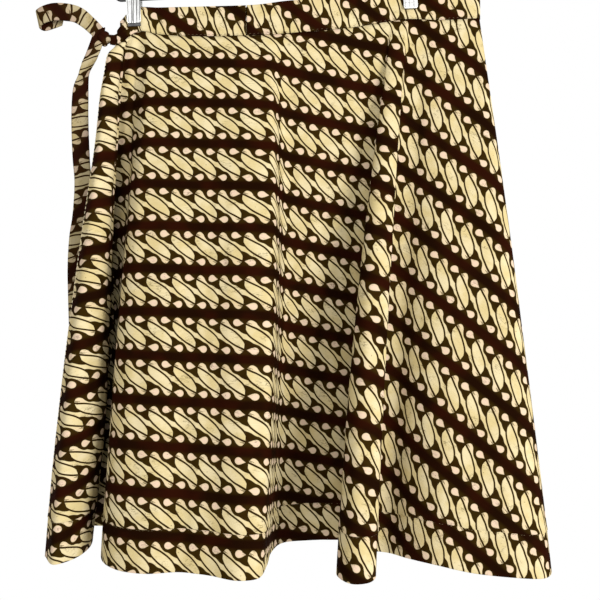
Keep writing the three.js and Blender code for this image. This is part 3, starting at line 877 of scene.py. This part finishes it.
def batik_material(name, turn=0.0, shift=(0.0, 0.0), dull_and_painted_shade=0.0):
    """Printed cotton. turn and shift lay the print on the piece; the last argument browns and darkens it,
    for the panels' duller wrong side and as painted shade on the tie and its neck.
    """
    material = bpy.data.materials.new(name)
    material.use_nodes = True
    tree = material.node_tree
    shader = tree.nodes["Principled BSDF"]
    cut = tree.nodes.new("ShaderNodeUVMap")
    cut.uv_map = "cut"
    lay = tree.nodes.new("ShaderNodeMapping")
    lay.inputs["Rotation"].default_value = (0, 0, math.radians(turn))
    lay.inputs["Location"].default_value = (*shift, 0)
    tree.links.new(cut.outputs["UV"], lay.inputs["Vector"])
    printed = tree.nodes.new("ShaderNodeGroup")
    printed.node_tree = batik
    tree.links.new(lay.outputs["Vector"], printed.inputs["Cloth"])
    woven = tree.nodes.new("ShaderNodeGroup")
    woven.node_tree = weave
    tree.links.new(cut.outputs["UV"], woven.inputs["Cloth"])
    colour = printed.outputs["Color"]
    # browning for the panels' wrong side, and painted shade for the tie and its neck
    if dull_and_painted_shade:
        dulled_and_shaded = Value(tree, printed.outputs["Wax"]) * DULLS_AND_SHADES_WAX + dull_and_painted_shade
        colour = blend_colours(tree, dulled_and_shaded, colour, DULL_AND_SHADE_DYE)
    tinted = tree.nodes.new("ShaderNodeMix")
    tinted.data_type = "RGBA"
    tinted.blend_type = "MULTIPLY"
    tinted.inputs["Factor"].default_value = WEAVE_TINT
    colours = [s for s in tinted.inputs if s.type == "RGBA"]
    tree.links.new(colour, colours[0])
    tree.links.new(woven.outputs["Tone"], colours[1])
    tree.links.new(next(s for s in tinted.outputs if s.type == "RGBA"), shader.inputs["Base Color"])
    wax = Value(tree, printed.outputs["Wax"])
    rough = wax * 0.06 + Value(tree, woven.outputs["Tone"]) * 0.12 + CLOTH_ROUGHNESS
    tree.links.new(rough.socket, shader.inputs["Roughness"])
    relief = Value(tree, woven.outputs["Height"]) + Value(tree, printed.outputs["Height"]) * PRINT_RELIEF
    bump = tree.nodes.new("ShaderNodeBump")
    bump.inputs["Strength"].default_value = CLOTH_RELIEF
    bump.inputs["Distance"].default_value = CLOTH_RELIEF_DEPTH
    tree.links.new(relief.socket, bump.inputs["Height"])
    tree.links.new(bump.outputs["Normal"], shader.inputs["Normal"])
    shader.inputs["Specular IOR Level"].default_value = CLOTH_SPECULAR
    return material


PANEL_SHIFT = (0, 0.012)
panel_cloth = batik_material("batik cotton", shift=PANEL_SHIFT)
# the wrong side is browned and darkened; the tie and its neck are darkened the same way as painted shade
wrong_side = batik_material("batik cotton, wrong side", shift=PANEL_SHIFT, dull_and_painted_shade=0.33)
band_cloth = batik_material("batik cotton, band", turn=34, shift=(0.004, 0.006))
tie_cloth = batik_material("batik cotton, tie", turn=-45, dull_and_painted_shade=0.32)
neck_cloth = batik_material("batik cotton, neck", shift=(0, 0.0232), dull_and_painted_shade=0.23)
print("cloth materials:", [m.name for m in bpy.data.materials if "batik" in m.name])

# %% [markdown]
# ## The three panels
# Each panel is one sheet: it hangs from the waist seam, turns round at the hem and goes 42 mm
# up again inside. It starts as a flat grid of squares, and each corner of the grid is then put
# where that bit of cloth hangs. Two UV maps go with it: the flat cut, for the print, and the
# same cut squeezed into the unit square.

# %% A sheet from a grid
CLOTH = 1.0
SEAM_GAP = 0.3
HEM_FOLD = 0.85  # the radius of the fold at the hem
HEM_FOLD_STEPS = 6
HEM_TURN_ROWS = 8
HEM_LENGTH = 590  # a usual line from waist to hem
TUCK_STEP = 0.0009
TUCK_RIDGE = 0.9  # how far the cloth swells just above the hem's stitches
TUCK_REACH = 5
CREASE_START = 6  # the waist seam holds creases back in the first sixth of the fall
CREASE_REACH = 2.5  # a crease ends at this many of its half widths
WAVE_FINENESS = 0.011
WAVE_STRETCH = 0.35
WAVE_HEIGHT = 0.6
RIPPLE_SHIFT = 7
RIPPLE_HEIGHT = 0.25


def dress(piece, *nodes):
    """Hangs a piece of cloth or thread on the one body, in place of these solids if any."""
    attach(piece, "root")
    if nodes:
        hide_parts(*nodes)
    return piece


def grid_sheet(name, columns, rows, place, flat, materials, thickness):
    """A cloth wall: place(i, j) hangs each corner of the grid, flat(i, j) is its place in the cut."""
    bm = bmesh.new()
    bmesh.ops.create_grid(bm, x_segments=columns, y_segments=rows, size=0.5)
    cut = bm.loops.layers.uv.new("cut")
    baked = bm.loops.layers.uv.new("OFBake")
    spots = {}
    for vert in bm.verts:
        spots[vert] = (round((vert.co.x + 0.5) * columns), round((0.5 - vert.co.y) * rows))
    for vert, (i, j) in spots.items():
        vert.co = place(i, j) * MM
    laid = {vert: flat(i, j) * MM for vert, (i, j) in spots.items()}
    low = Vector((min(p.x for p in laid.values()), min(p.y for p in laid.values())))
    high = Vector((max(p.x for p in laid.values()), max(p.y for p in laid.values())))
    size = max(high.x - low.x, high.y - low.y)
    for face in bm.faces:
        for loop in face.loops:
            loop[cut].uv = laid[loop.vert]
            loop[baked].uv = (laid[loop.vert] - low) / size
    made = new_object(name, bm, materials[0])
    for extra in materials[1:]:
        made.data.materials.append(extra)
    wall = made.modifiers.new("cloth", "SOLIDIFY")
    wall.thickness = thickness * MM
    wall.offset = 0
    wall.use_even_offset = False
    wall.material_offset = len(materials) - 1
    return made


def creases(panel, i, fall):
    """Where small creases move the cloth of a panel, in millimetres."""
    p = panel.point(i, fall) * WAVE_FINENESS
    lift = noise.noise(Vector((p.x, p.z * WAVE_STRETCH, p.y))) * WAVE_HEIGHT
    lift += noise.noise(Vector((p.x * 3, p.z, p.y * 3 + RIPPLE_SHIFT))) * RIPPLE_HEIGHT
    for place, reach, middle, length, out in panel.creases:
        aside, along = (panel.waist[i].x - place) / reach, (fall - middle) / length
        if abs(aside) < CREASE_REACH and abs(along) < CREASE_REACH:
            lift -= out * math.exp(-aside * aside - along * along)
    return panel.normal(i, fall) * lift * min(1, fall * CREASE_START)


def hang_panel(name, panel, rows, *nodes):
    """One panel with its hem turned up inside, in place of its solids."""
    arc = [math.pi * k / HEM_FOLD_STEPS for k in range(1, HEM_FOLD_STEPS)]
    inner = [HEM_TURN * k / HEM_TURN_ROWS for k in range(HEM_TURN_ROWS + 1)]
    start = SEAM_GAP / 2 / HEM_LENGTH
    falls = [start + (1 - start) * j / rows for j in range(rows + 1)]
    falls = sorted(falls + [TUCK_FALL - TUCK_STEP, TUCK_FALL + TUCK_STEP])
    rows = len(falls) - 1
    total = rows + len(arc) + len(inner)

    def place(i, j):
        if j <= rows:
            fall = falls[j]
            above = (TUCK_FALL - fall) * HEM_LENGTH
            ridge = TUCK_RIDGE * math.exp(-above / TUCK_REACH) if above > 0 else 0
            return panel.point(i, fall) + creases(panel, i, fall) - panel.normal(i, fall) * ridge
        inward = panel.normal(i, 1)
        down = (panel.hem[i] - panel.waist[i]).normalized()
        if j <= rows + len(arc):
            angle = arc[j - rows - 1]
            offset, drop = HEM_FOLD * (1 - math.cos(angle)), HEM_FOLD * math.sin(angle)
            return panel.point(i, 1) + creases(panel, i, 1) + inward * offset + down * drop
        rise = inner[j - rows - len(arc) - 1] / (panel.hem[i] - panel.waist[i]).length
        fall = 1 - rise
        return panel.point(i, fall) + creases(panel, i, fall) + panel.normal(i, fall) * HEM_FOLD * 2

    def flat(i, j):
        if j <= rows:
            return panel.flat(i, falls[j])
        length = (panel.hem[i] - panel.waist[i]).length
        if j <= rows + len(arc):
            return panel.flat(i, 1 + HEM_FOLD * arc[j - rows - 1] / length)
        return panel.flat(i, 1 + (HEM_FOLD * math.pi + inner[j - rows - len(arc) - 1]) / length)

    sheet = grid_sheet(name, panel.columns, total, place, flat, [panel_cloth, wrong_side], CLOTH)
    return dress(sheet, *nodes)


panels = [
    hang_panel("skirt_outer_front", outer, 110, "outer_front_panel", "outer_front_hem_turn"),
    hang_panel("skirt_back", back, 70, "back_panel", "back_hem_turn"),
    hang_panel("skirt_under_front", under, 70, "under_front_panel", "under_front_hem_turn"),
]
print("panels:", {panel.name: len(panel.data.vertices) for panel in panels})

# %% [markdown]
# ## The waistband
# The band is a strip of the same cloth cut across the grain and folded double along its top
# edge. So each length is again one sheet, up the outside, over the fold and down the inside.

# %% The band lengths
BAND_HALF = 0.72  # from the band's middle to the middle of each of its layers
BAND_CLOTH = 0.85
BAND_ROWS = 10
BAND_TOP_ROWS = 4
BAND_JOIN_X = -28
BAND_END_X = -170
CRUMPLED = (-160, -128)  # the clip crumples the band from here to there, less and less
CRUMPLE_DEPTH = 0.7
CRUMPLE_LONG = 0.13
CRUMPLE_HIGH = 0.31
CRUMPLE_SIDE = 3
CRUMPLE_FINE = 2.3
CRUMPLE_PRINT = (5, 4)  # how far it moves the print along and across
CRUMPLE_APART = 5


def fold_band(name, points, top, node, side):
    """A folded length of band on these waist points. side is -1 where its outside faces front."""
    columns = len(points) - 1
    along = distances(points)

    def normal(i):
        way = (points[min(columns, i + 1)] - points[max(0, i - 1)]).normalized()
        return Vector((-way.y, way.x, 0)).normalized()

    def held(i):
        """How firmly the clip crumples the band there: 1 at the band's end, 0 beyond it."""
        return 1 - min(1, max(0, (points[i].x - CRUMPLED[0]) / (CRUMPLED[1] - CRUMPLED[0])))

    def crumple(i, j):
        """How far the end under the clip is crumpled, from -1 to 1."""
        spot = Vector((points[i].x * CRUMPLE_LONG, j * CRUMPLE_HIGH, side * CRUMPLE_SIDE))
        return (noise.noise(spot) + noise.noise(spot * CRUMPLE_FINE) * 0.5) * held(i)

    def straight(i, j):
        """The band's spot as if nothing crumpled it: up the outside, over the top, down the inside."""
        seam = points[i]
        low = seam.z + SEAM_GAP / 2
        high = edge_height(seam.x, top) - BAND_HALF
        inward = normal(i)
        if j <= BAND_ROWS:
            share = j / BAND_ROWS
            return Vector((seam.x, seam.y, low + (high - low) * share)) - inward * BAND_HALF
        if j < BAND_ROWS + BAND_TOP_ROWS:
            angle = math.pi * (j - BAND_ROWS) / BAND_TOP_ROWS
            out = inward * -BAND_HALF * math.cos(angle)
            return Vector((seam.x, seam.y, high + BAND_HALF * math.sin(angle))) + out
        share = 1 - (j - BAND_ROWS - BAND_TOP_ROWS) / BAND_ROWS
        return Vector((seam.x, seam.y, low + (high - low) * share)) + inward * BAND_HALF

    def place(i, j):
        spot = straight(i, j)
        if j <= BAND_ROWS:
            depth = CRUMPLE_DEPTH * min(1, j, BAND_ROWS - j)
            spot -= normal(i) * (held(i) + crumple(i, j)) * depth
        return spot

    def flat(i, j):
        p = straight(i, j)
        risen = p.z if j <= BAND_ROWS else 2 * edge_height(p.x, top) - p.z
        other = crumple(i, j + CRUMPLE_APART)
        moved = Vector((crumple(i, j) * CRUMPLE_PRINT[0], other * CRUMPLE_PRINT[1]))
        return Vector((along[i], risen)) + moved

    rows = 2 * BAND_ROWS + BAND_TOP_ROWS
    return dress(grid_sheet(name, columns, rows, place, flat, [band_cloth], BAND_CLOTH), node)


band_outer = Panel(OUTER_FRONT, 900)
left_points = [p for p in band_outer.waist if p.x <= BAND_JOIN_X - SEAM_GAP / 2]
right_points = [p for p in band_outer.waist if p.x >= BAND_JOIN_X + SEAM_GAP / 2]
back_points = [p for p in back.waist if p.x >= BAND_END_X]
under_points = [p for p in under.waist if p.x >= BAND_END_X]
bands = [
    fold_band("waistband_left_of_join", left_points, 2, "waistband_front_left", -1),
    fold_band("waistband_right_of_join", right_points, 2, "waistband_front_right", -1),
    fold_band("waistband_behind", back_points, 3, "waistband_back", 1),
    fold_band("waistband_beneath", under_points, 3, "waistband_under", -1),
]
print("bands:", [b.name for b in bands])

# %% [markdown]
# ## The tie
# The tie is the band's own end: its neck runs into a knot, and two tails leave the knot. A tail
# is a folded strap, so it is made as a ribbon that follows a centre line and leans and twists
# on the way.

# %% The tails
TIE = 1.8
TIE_WIDTH = 19
TIE_COLUMNS = 8

# x, y, z, lean from upright, twist about the vertical, width
SHORT_TAIL = [
    (-187, -4, -157, 50, 0, 12),
    (-193.5, -5, -150, 47, 0, 15),
    (-203, -6, -141, 45, 0, 16),
    (-214, -7, -133, 36, 0, 18),
    (-227, -7, -129.5, 12, 0, 19),
    (-242, -7, -129, -4, 0, 19),
    (-255, -5, -132, -14, 0, 18),
    (-261, -1, -135, -12, 0, 18),
    (-257, 3, -137, -4, 0, 18),
    (-246, 4, -135, 8, 0, 18),
    (-234, 4, -132, 14, 0, 16),
]
LONG_TAIL = [
    (-191, -5.5, -148, 70, 0, 13),
    (-194.5, -6, -163, 80, 0, 15),
    (-199.5, -6, -177, 74, 0, 17),
    (-205, -5, -188, 64, 38, 17),
    (-209.3, -3, -197, 66, 62, 17),
    (-212.8, -1, -209, 78, 50, 18),
    (-214.6, 1, -226, 86, 28, 18),
    (-215.2, 2, -248, 90, 8, 18.5),
    (-214, 3, -290, 91, 0, 19),
    (-212.5, 4, -316, 90, -6, 19),
    (-214.4, 4, -352, 86, 0, 19),
    (-218, 4, -378, 88, 4, 19),
    (-220, 4, -413, 90, 0, 19),
    (-219.4, 4, -448, 90, 0, 19),
    (-219, 4, -478, 90, 0, 18),
]


def strap(name, stations, steps, node, way, start, fold=(0, 1, 0)):
    """A folded strap along its stations. way is -1 where it runs down, start lays the print on it,
    and fold says from where to where a fold hides how much of it."""
    fold_from, fold_to, fold_hides = fold
    middles = [Vector(s[:3]) for s in stations]
    lies = [Vector((s[3], s[4], s[5])) for s in stations]
    centre = [smooth_point(middles, k / steps) for k in range(steps + 1)]
    along = distances(centre)

    def place(i, j):
        lean, turn, width = smooth_point(lies, j / steps)
        lean, turn = math.radians(lean), math.radians(turn)
        sideways = Vector((math.cos(turn), math.sin(turn), 0)) * math.sin(lean)
        across = sideways + Vector((0, 0, math.cos(lean)))
        return centre[j] + across * (min(width, TIE_WIDTH) * (i / TIE_COLUMNS - 0.5))

    def flat(i, j):
        hidden = fold_hides * min(1, max(0, (along[j] - fold_from) / (fold_to - fold_from)))
        return Vector((TIE_WIDTH * (i / TIE_COLUMNS - 0.5), way * (along[j] + start + hidden)))

    return dress(grid_sheet(name, TIE_COLUMNS, steps, place, flat, [tie_cloth], TIE), node)


tails = [
    strap("tie_short_end", SHORT_TAIL, 60, "tie_short_tail", 1, -25.6, (84, 92, 28)),
    strap("tie_long_end", LONG_TAIL, 110, "tie_long_tail", -1, -39.3),
]

# %% The knot and the neck
KNOT_CENTRE = Vector((-187, -3, -157))
KNOT_HALF = Vector((7.6, 6.4, 8.6))
KNOT_TURNS = Vector((2.1, 0.9, 2.9))  # the turns follow each other this way
KNOT_TURNS_START = 0.5
KNOT_TURN_BULGE = 0.6
KNOT_CORE = 0.84  # the rest of its size is the turns' swell and a little unevenness
KNOT_SWELL = 0.2
KNOT_UNEVEN = 0.06
KNOT_UNEVEN_FINENESS = 2.4
# x, half height, height of its middle
NECK = [(-172.2, 6.6, -158.3), (-175.7, 5.5, -158.8), (-180, 5.2, -158.2)]
NECK_Y = -2.7
NECK_CLOTH = 2.0
NECK_COLUMNS = 16
NECK_ROWS = 8
NECK_GATHER = 0.5  # how deep its gathers are
NECK_GATHER_TURN = 1.9  # from row to row
NECK_PRINT_ROW = 1.4


def front_uv(bm):
    """UV maps on small round pieces, laid out as they are seen from the front."""
    cut = bm.loops.layers.uv.new("cut")
    baked = bm.loops.layers.uv.new("OFBake")
    low = Vector((min(v.co.x for v in bm.verts), min(v.co.z for v in bm.verts)))
    size = max(max(v.co.x for v in bm.verts) - low.x, max(v.co.z for v in bm.verts) - low.y)
    for face in bm.faces:
        for loop in face.loops:
            p = loop.vert.co
            loop[cut].uv = (p.x, p.z)
            loop[baked].uv = ((p.x - low.x) / size, (p.z - low.y) / size)


bm = bmesh.new()
bmesh.ops.create_uvsphere(bm, u_segments=72, v_segments=48, radius=1)
for vert in bm.verts:
    # turns of the strap lie side by side and slant down to the right
    p = vert.co.copy()
    turns = abs(math.sin(KNOT_TURNS.dot(p) + KNOT_TURNS_START)) ** KNOT_TURN_BULGE
    unevenness = noise.noise(p * KNOT_UNEVEN_FINENESS)
    swell = KNOT_CORE + KNOT_SWELL * turns + KNOT_UNEVEN * unevenness
    vert.co = (KNOT_CENTRE + p * KNOT_HALF * swell) * MM
front_uv(bm)
knot = dress(new_object("tie_knot_wrap", bm, tie_cloth), "tie_knot")


def neck_place(i, j):
    """The neck runs into the knot, its half height changing on the way, and is gathered."""
    middle = smooth_point([Vector((x, NECK_Y, z)) for x, half, z in NECK], i / NECK_COLUMNS)
    halves = [Vector((half, 0, n)) for n, (x, half, z) in enumerate(NECK)]
    half = smooth_point(halves, i / NECK_COLUMNS).x
    return middle + Vector((0, NECK_GATHER * math.cos(j * NECK_GATHER_TURN), half * (2 * j / NECK_ROWS - 1)))


def neck_flat(i, j):
    return Vector((i, (j - NECK_ROWS / 2) * NECK_PRINT_ROW))


neck_sheet = grid_sheet(
    "tie_neck_gathered", NECK_COLUMNS, NECK_ROWS, neck_place, neck_flat, [neck_cloth], NECK_CLOTH
)
neck = dress(neck_sheet, "tie_neck")
print("tie:", [piece.name for piece in (*tails, knot, neck)])

# %% [markdown]
# ## Stitches
# The hems, the free edge and the waistband's seam are sewn by machine. Each stitch is a tiny
# rounded bead of thread that lies on the cloth, and each row of stitches is one piece.

# %% Rows of stitches
STITCH_THICK = 0.34
STITCH_LONG = 2.2
STITCH_PITCH = 4.5
STITCH_LIFT = 0.1  # how far the thread's middle lies above the cloth
HEM_STITCH_FALL = TUCK_FALL + 0.002
EDGE_THICK = 0.9  # a zigzag over the free edge looks like one wide stitch
EDGE_LONG = 4
EDGE_STITCHES = 109
EDGE_FIRST, EDGE_LAST = 3, 105
EDGE_INSET = 1.2
BAND_STITCH_LONG = 2.5
BAND_STITCH_PITCH = 4.2
BAND_STITCH_LIFT = 0.08
BAND_STITCH_RISE = 1.6  # above the seam
BAND_STITCHED = (-124, 231)
BEAD_FACES = 24


def stitch_row(name, spots, length, material, thick=STITCH_THICK):
    """Beads of thread at these spots: each a place, the way it lies and the cloth's normal, in mm."""
    bm = bmesh.new()
    for place, way, out in spots:
        way = way.normalized()
        side = out.cross(way).normalized()
        lie = Matrix((way * length / 2, side * thick / 2, way.cross(side) * thick / 2)).transposed()
        turned = Matrix.Translation(place * MM) @ (lie * MM).to_4x4()
        bmesh.ops.create_uvsphere(bm, u_segments=6, v_segments=4, radius=1, matrix=turned)
    bmesh.ops.recalc_face_normals(bm, faces=bm.faces)
    front_uv(bm)
    return dress(new_object(name, bm, material))


def lifted(panel, i, fall):
    """A spot on the outside of a panel's cloth, its way along the panel and its outward normal."""
    out = -panel.normal(i, fall)
    on = panel.point(i, fall) + creases(panel, i, fall) + out * (CLOTH / 2 + STITCH_LIFT)
    ahead = panel.point(min(i + 1, panel.columns), fall) - panel.point(max(i - 1, 0), fall)
    return on, ahead, out


def hem_stitches(name, panel):
    """Stitches along a panel's hem, spaced by their distance along the cloth."""
    spots = []
    gone = STITCH_PITCH
    for i in range(1, panel.columns):
        gone += (panel.point(i, HEM_STITCH_FALL) - panel.point(i - 1, HEM_STITCH_FALL)).length
        if gone >= STITCH_PITCH:
            gone -= STITCH_PITCH
            spots.append(lifted(panel, i, HEM_STITCH_FALL))
    return stitch_row(name, spots, STITCH_LONG, dark_thread)


dark_thread = worn_material("sewing thread", (0.16, 0.12, 0.05), (0.08, 0.05, 0.022), 0.75, scale=300)
pale_thread = worn_material("pale thread", (0.8, 0.7, 0.47), (0.6, 0.5, 0.3), 0.75, scale=300)
white_thread = worn_material("white thread", (0.85, 0.83, 0.78), (0.7, 0.68, 0.62), 0.6, scale=300)
stitches = [
    hem_stitches("hem_stitches_outer", outer),
    hem_stitches("hem_stitches_back", back),
    hem_stitches("hem_stitches_under", under),
]

# %% The free edge's stitches
edge_spots = []
for k in range(EDGE_FIRST, EDGE_LAST + 1):
    on, ahead, out = lifted(outer, 0, k / EDGE_STITCHES)
    down = outer.point(0, (k + 1) / EDGE_STITCHES) - outer.point(0, k / EDGE_STITCHES)
    edge_spots.append((on + ahead.normalized() * EDGE_INSET, down, out))
stitches.append(stitch_row("free_edge_stitches", edge_spots, EDGE_LONG, pale_thread, EDGE_THICK))

# %% The waistband's stitches
band_spots = []
gone = 0
for a, b in zip(band_outer.waist, band_outer.waist[1:]):
    gone += (b - a).length
    if gone >= BAND_STITCH_PITCH and BAND_STITCHED[0] < b.x < BAND_STITCHED[1]:
        gone = 0
        out = Vector(((b - a).y, -(b - a).x, 0)).normalized()
        lift = BAND_HALF + BAND_CLOTH / 2 + BAND_STITCH_LIFT
        band_spots.append((b + Vector((0, 0, BAND_STITCH_RISE)) + out * lift, b - a, out))
stitches.append(stitch_row("waistband_seam_stitches", band_spots, BAND_STITCH_LONG, dark_thread))
print("stitches:", {row.name: len(row.data.polygons) // BEAD_FACES for row in stitches})

# %% A short end of white thread that has come loose at the band's join
LOOSE_THREAD = Vector((-27.6, -8.6, -137.8))
LOOSE_WAY = Vector((0.06, 0, 1))
LOOSE_LONG = 5
loose_spot = (LOOSE_THREAD, LOOSE_WAY, Vector((0, -1, 0)))
thread_end = stitch_row("join_thread_end", [loose_spot], LOOSE_LONG, white_thread)
print("loose thread:", thread_end.name)

# %% [markdown]
# ## The hanger
# The hook and the bar are one black wire, and the clips are pressed from bright sheet steel
# round a spring on the bar. Their solids already have the right shape, so they only take
# their finish here, and two jaws take painted shade where their grooves and dimples are.

# %% Wire, steel and pads
# the jaws' grooves and dimples, where painted shade darkens the steel
GROOVES = (-154.9, -152.9, -149.1, -146.4)
DIMPLES = (149.5, 152.9, 156.4)
DIMPLE_Z = -118.6
MARK_INNER, MARK_OUTER = 0.00035, 0.0006
MARK_STRENGTH = 0.85
# the colour of the painted shade in the grooves and dimples
GROOVE_SHADE = (0.06, 0.06, 0.058)
STEEL = ((0.72, 0.72, 0.7), (0.58, 0.58, 0.57), 0.36, 1.0, 90)


def groove_shaded_steel(name, marks, height=None):
    """Clip steel with painted shade as dark marks at these x: grooves down the jaw, or dimples at one
    height.
    """
    material = worn_material(name, *STEEL)
    tree = material.node_tree
    shader = tree.nodes["Principled BSDF"]
    place = tree.nodes.new("ShaderNodeTexCoord")
    split = tree.nodes.new("ShaderNodeSeparateXYZ")
    tree.links.new(place.outputs["Object"], split.inputs["Vector"])
    x = Value(tree, split.outputs["X"])
    off = None
    for mark in marks:
        away = (x - mark * MM).size()
        if height is not None:
            up = Value(tree, split.outputs["Z"]) - height * MM
            away = (away * away + up * up).root()
        off = away if off is None else off.least(away)
    # painted shade, darkest at the middle of each groove and dimple
    groove_shade_mask = (1 - off.soft(MARK_INNER, MARK_OUTER)) * MARK_STRENGTH
    clean = shader.inputs["Base Color"].links[0].from_socket
    tree.links.new(blend_colours(tree, groove_shade_mask, clean, GROOVE_SHADE), shader.inputs["Base Color"])
    return material


black_wire = worn_material("black wire", (0.012, 0.012, 0.013), (0.022, 0.021, 0.02), 0.42, scale=200)
bright_steel = worn_material("bright clip steel", *STEEL)
grooved_steel = groove_shaded_steel("bright clip steel, grooved", GROOVES)
dimpled_steel = groove_shaded_steel("bright clip steel, dimpled", DIMPLES, DIMPLE_Z)
grey_pad = worn_material(
    "grey pad", (0.05, 0.05, 0.052), (0.09, 0.09, 0.09), 0.7, scale=400, depth=0.0005
)
for name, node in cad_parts.items():
    finish = None
    if name.startswith("hanger"):
        finish = black_wire
    elif name.endswith("pad"):
        finish = grey_pad
    elif name == "clip_left_front_jaw":
        finish = grooved_steel
    elif name == "clip_right_front_jaw":
        finish = dimpled_steel
    elif name.startswith("clip"):
        finish = bright_steel
    if finish is not None:
        node.data.materials.clear()
        node.data.materials.append(finish)

# %% [markdown]
# ## The cut of each sheet
# Each sheet says how large its flat cut was before it was hung.

# %% Sheets and sizes


def flat_area(piece):
    """The area of a sheet's mesh, before it has a thickness, in square metres."""
    return sum(p.area for p in piece.data.polygons)


def flat_size(piece):
    """Width and length of the flat cut, in metres."""
    spots = [d.uv for d in piece.data.uv_layers["cut"].data]
    return (
        max(p.x for p in spots) - min(p.x for p in spots),
        max(p.y for p in spots) - min(p.y for p in spots),
    )


for piece in [*panels, *bands, *tails]:
    size = flat_size(piece)
    area = min(flat_area(piece), size[0] * size[1])
    held = "hung" if piece in panels else "folded"
    print(piece.name, "cut", [round(s, 3) for s in size], "area", round(area, 4))
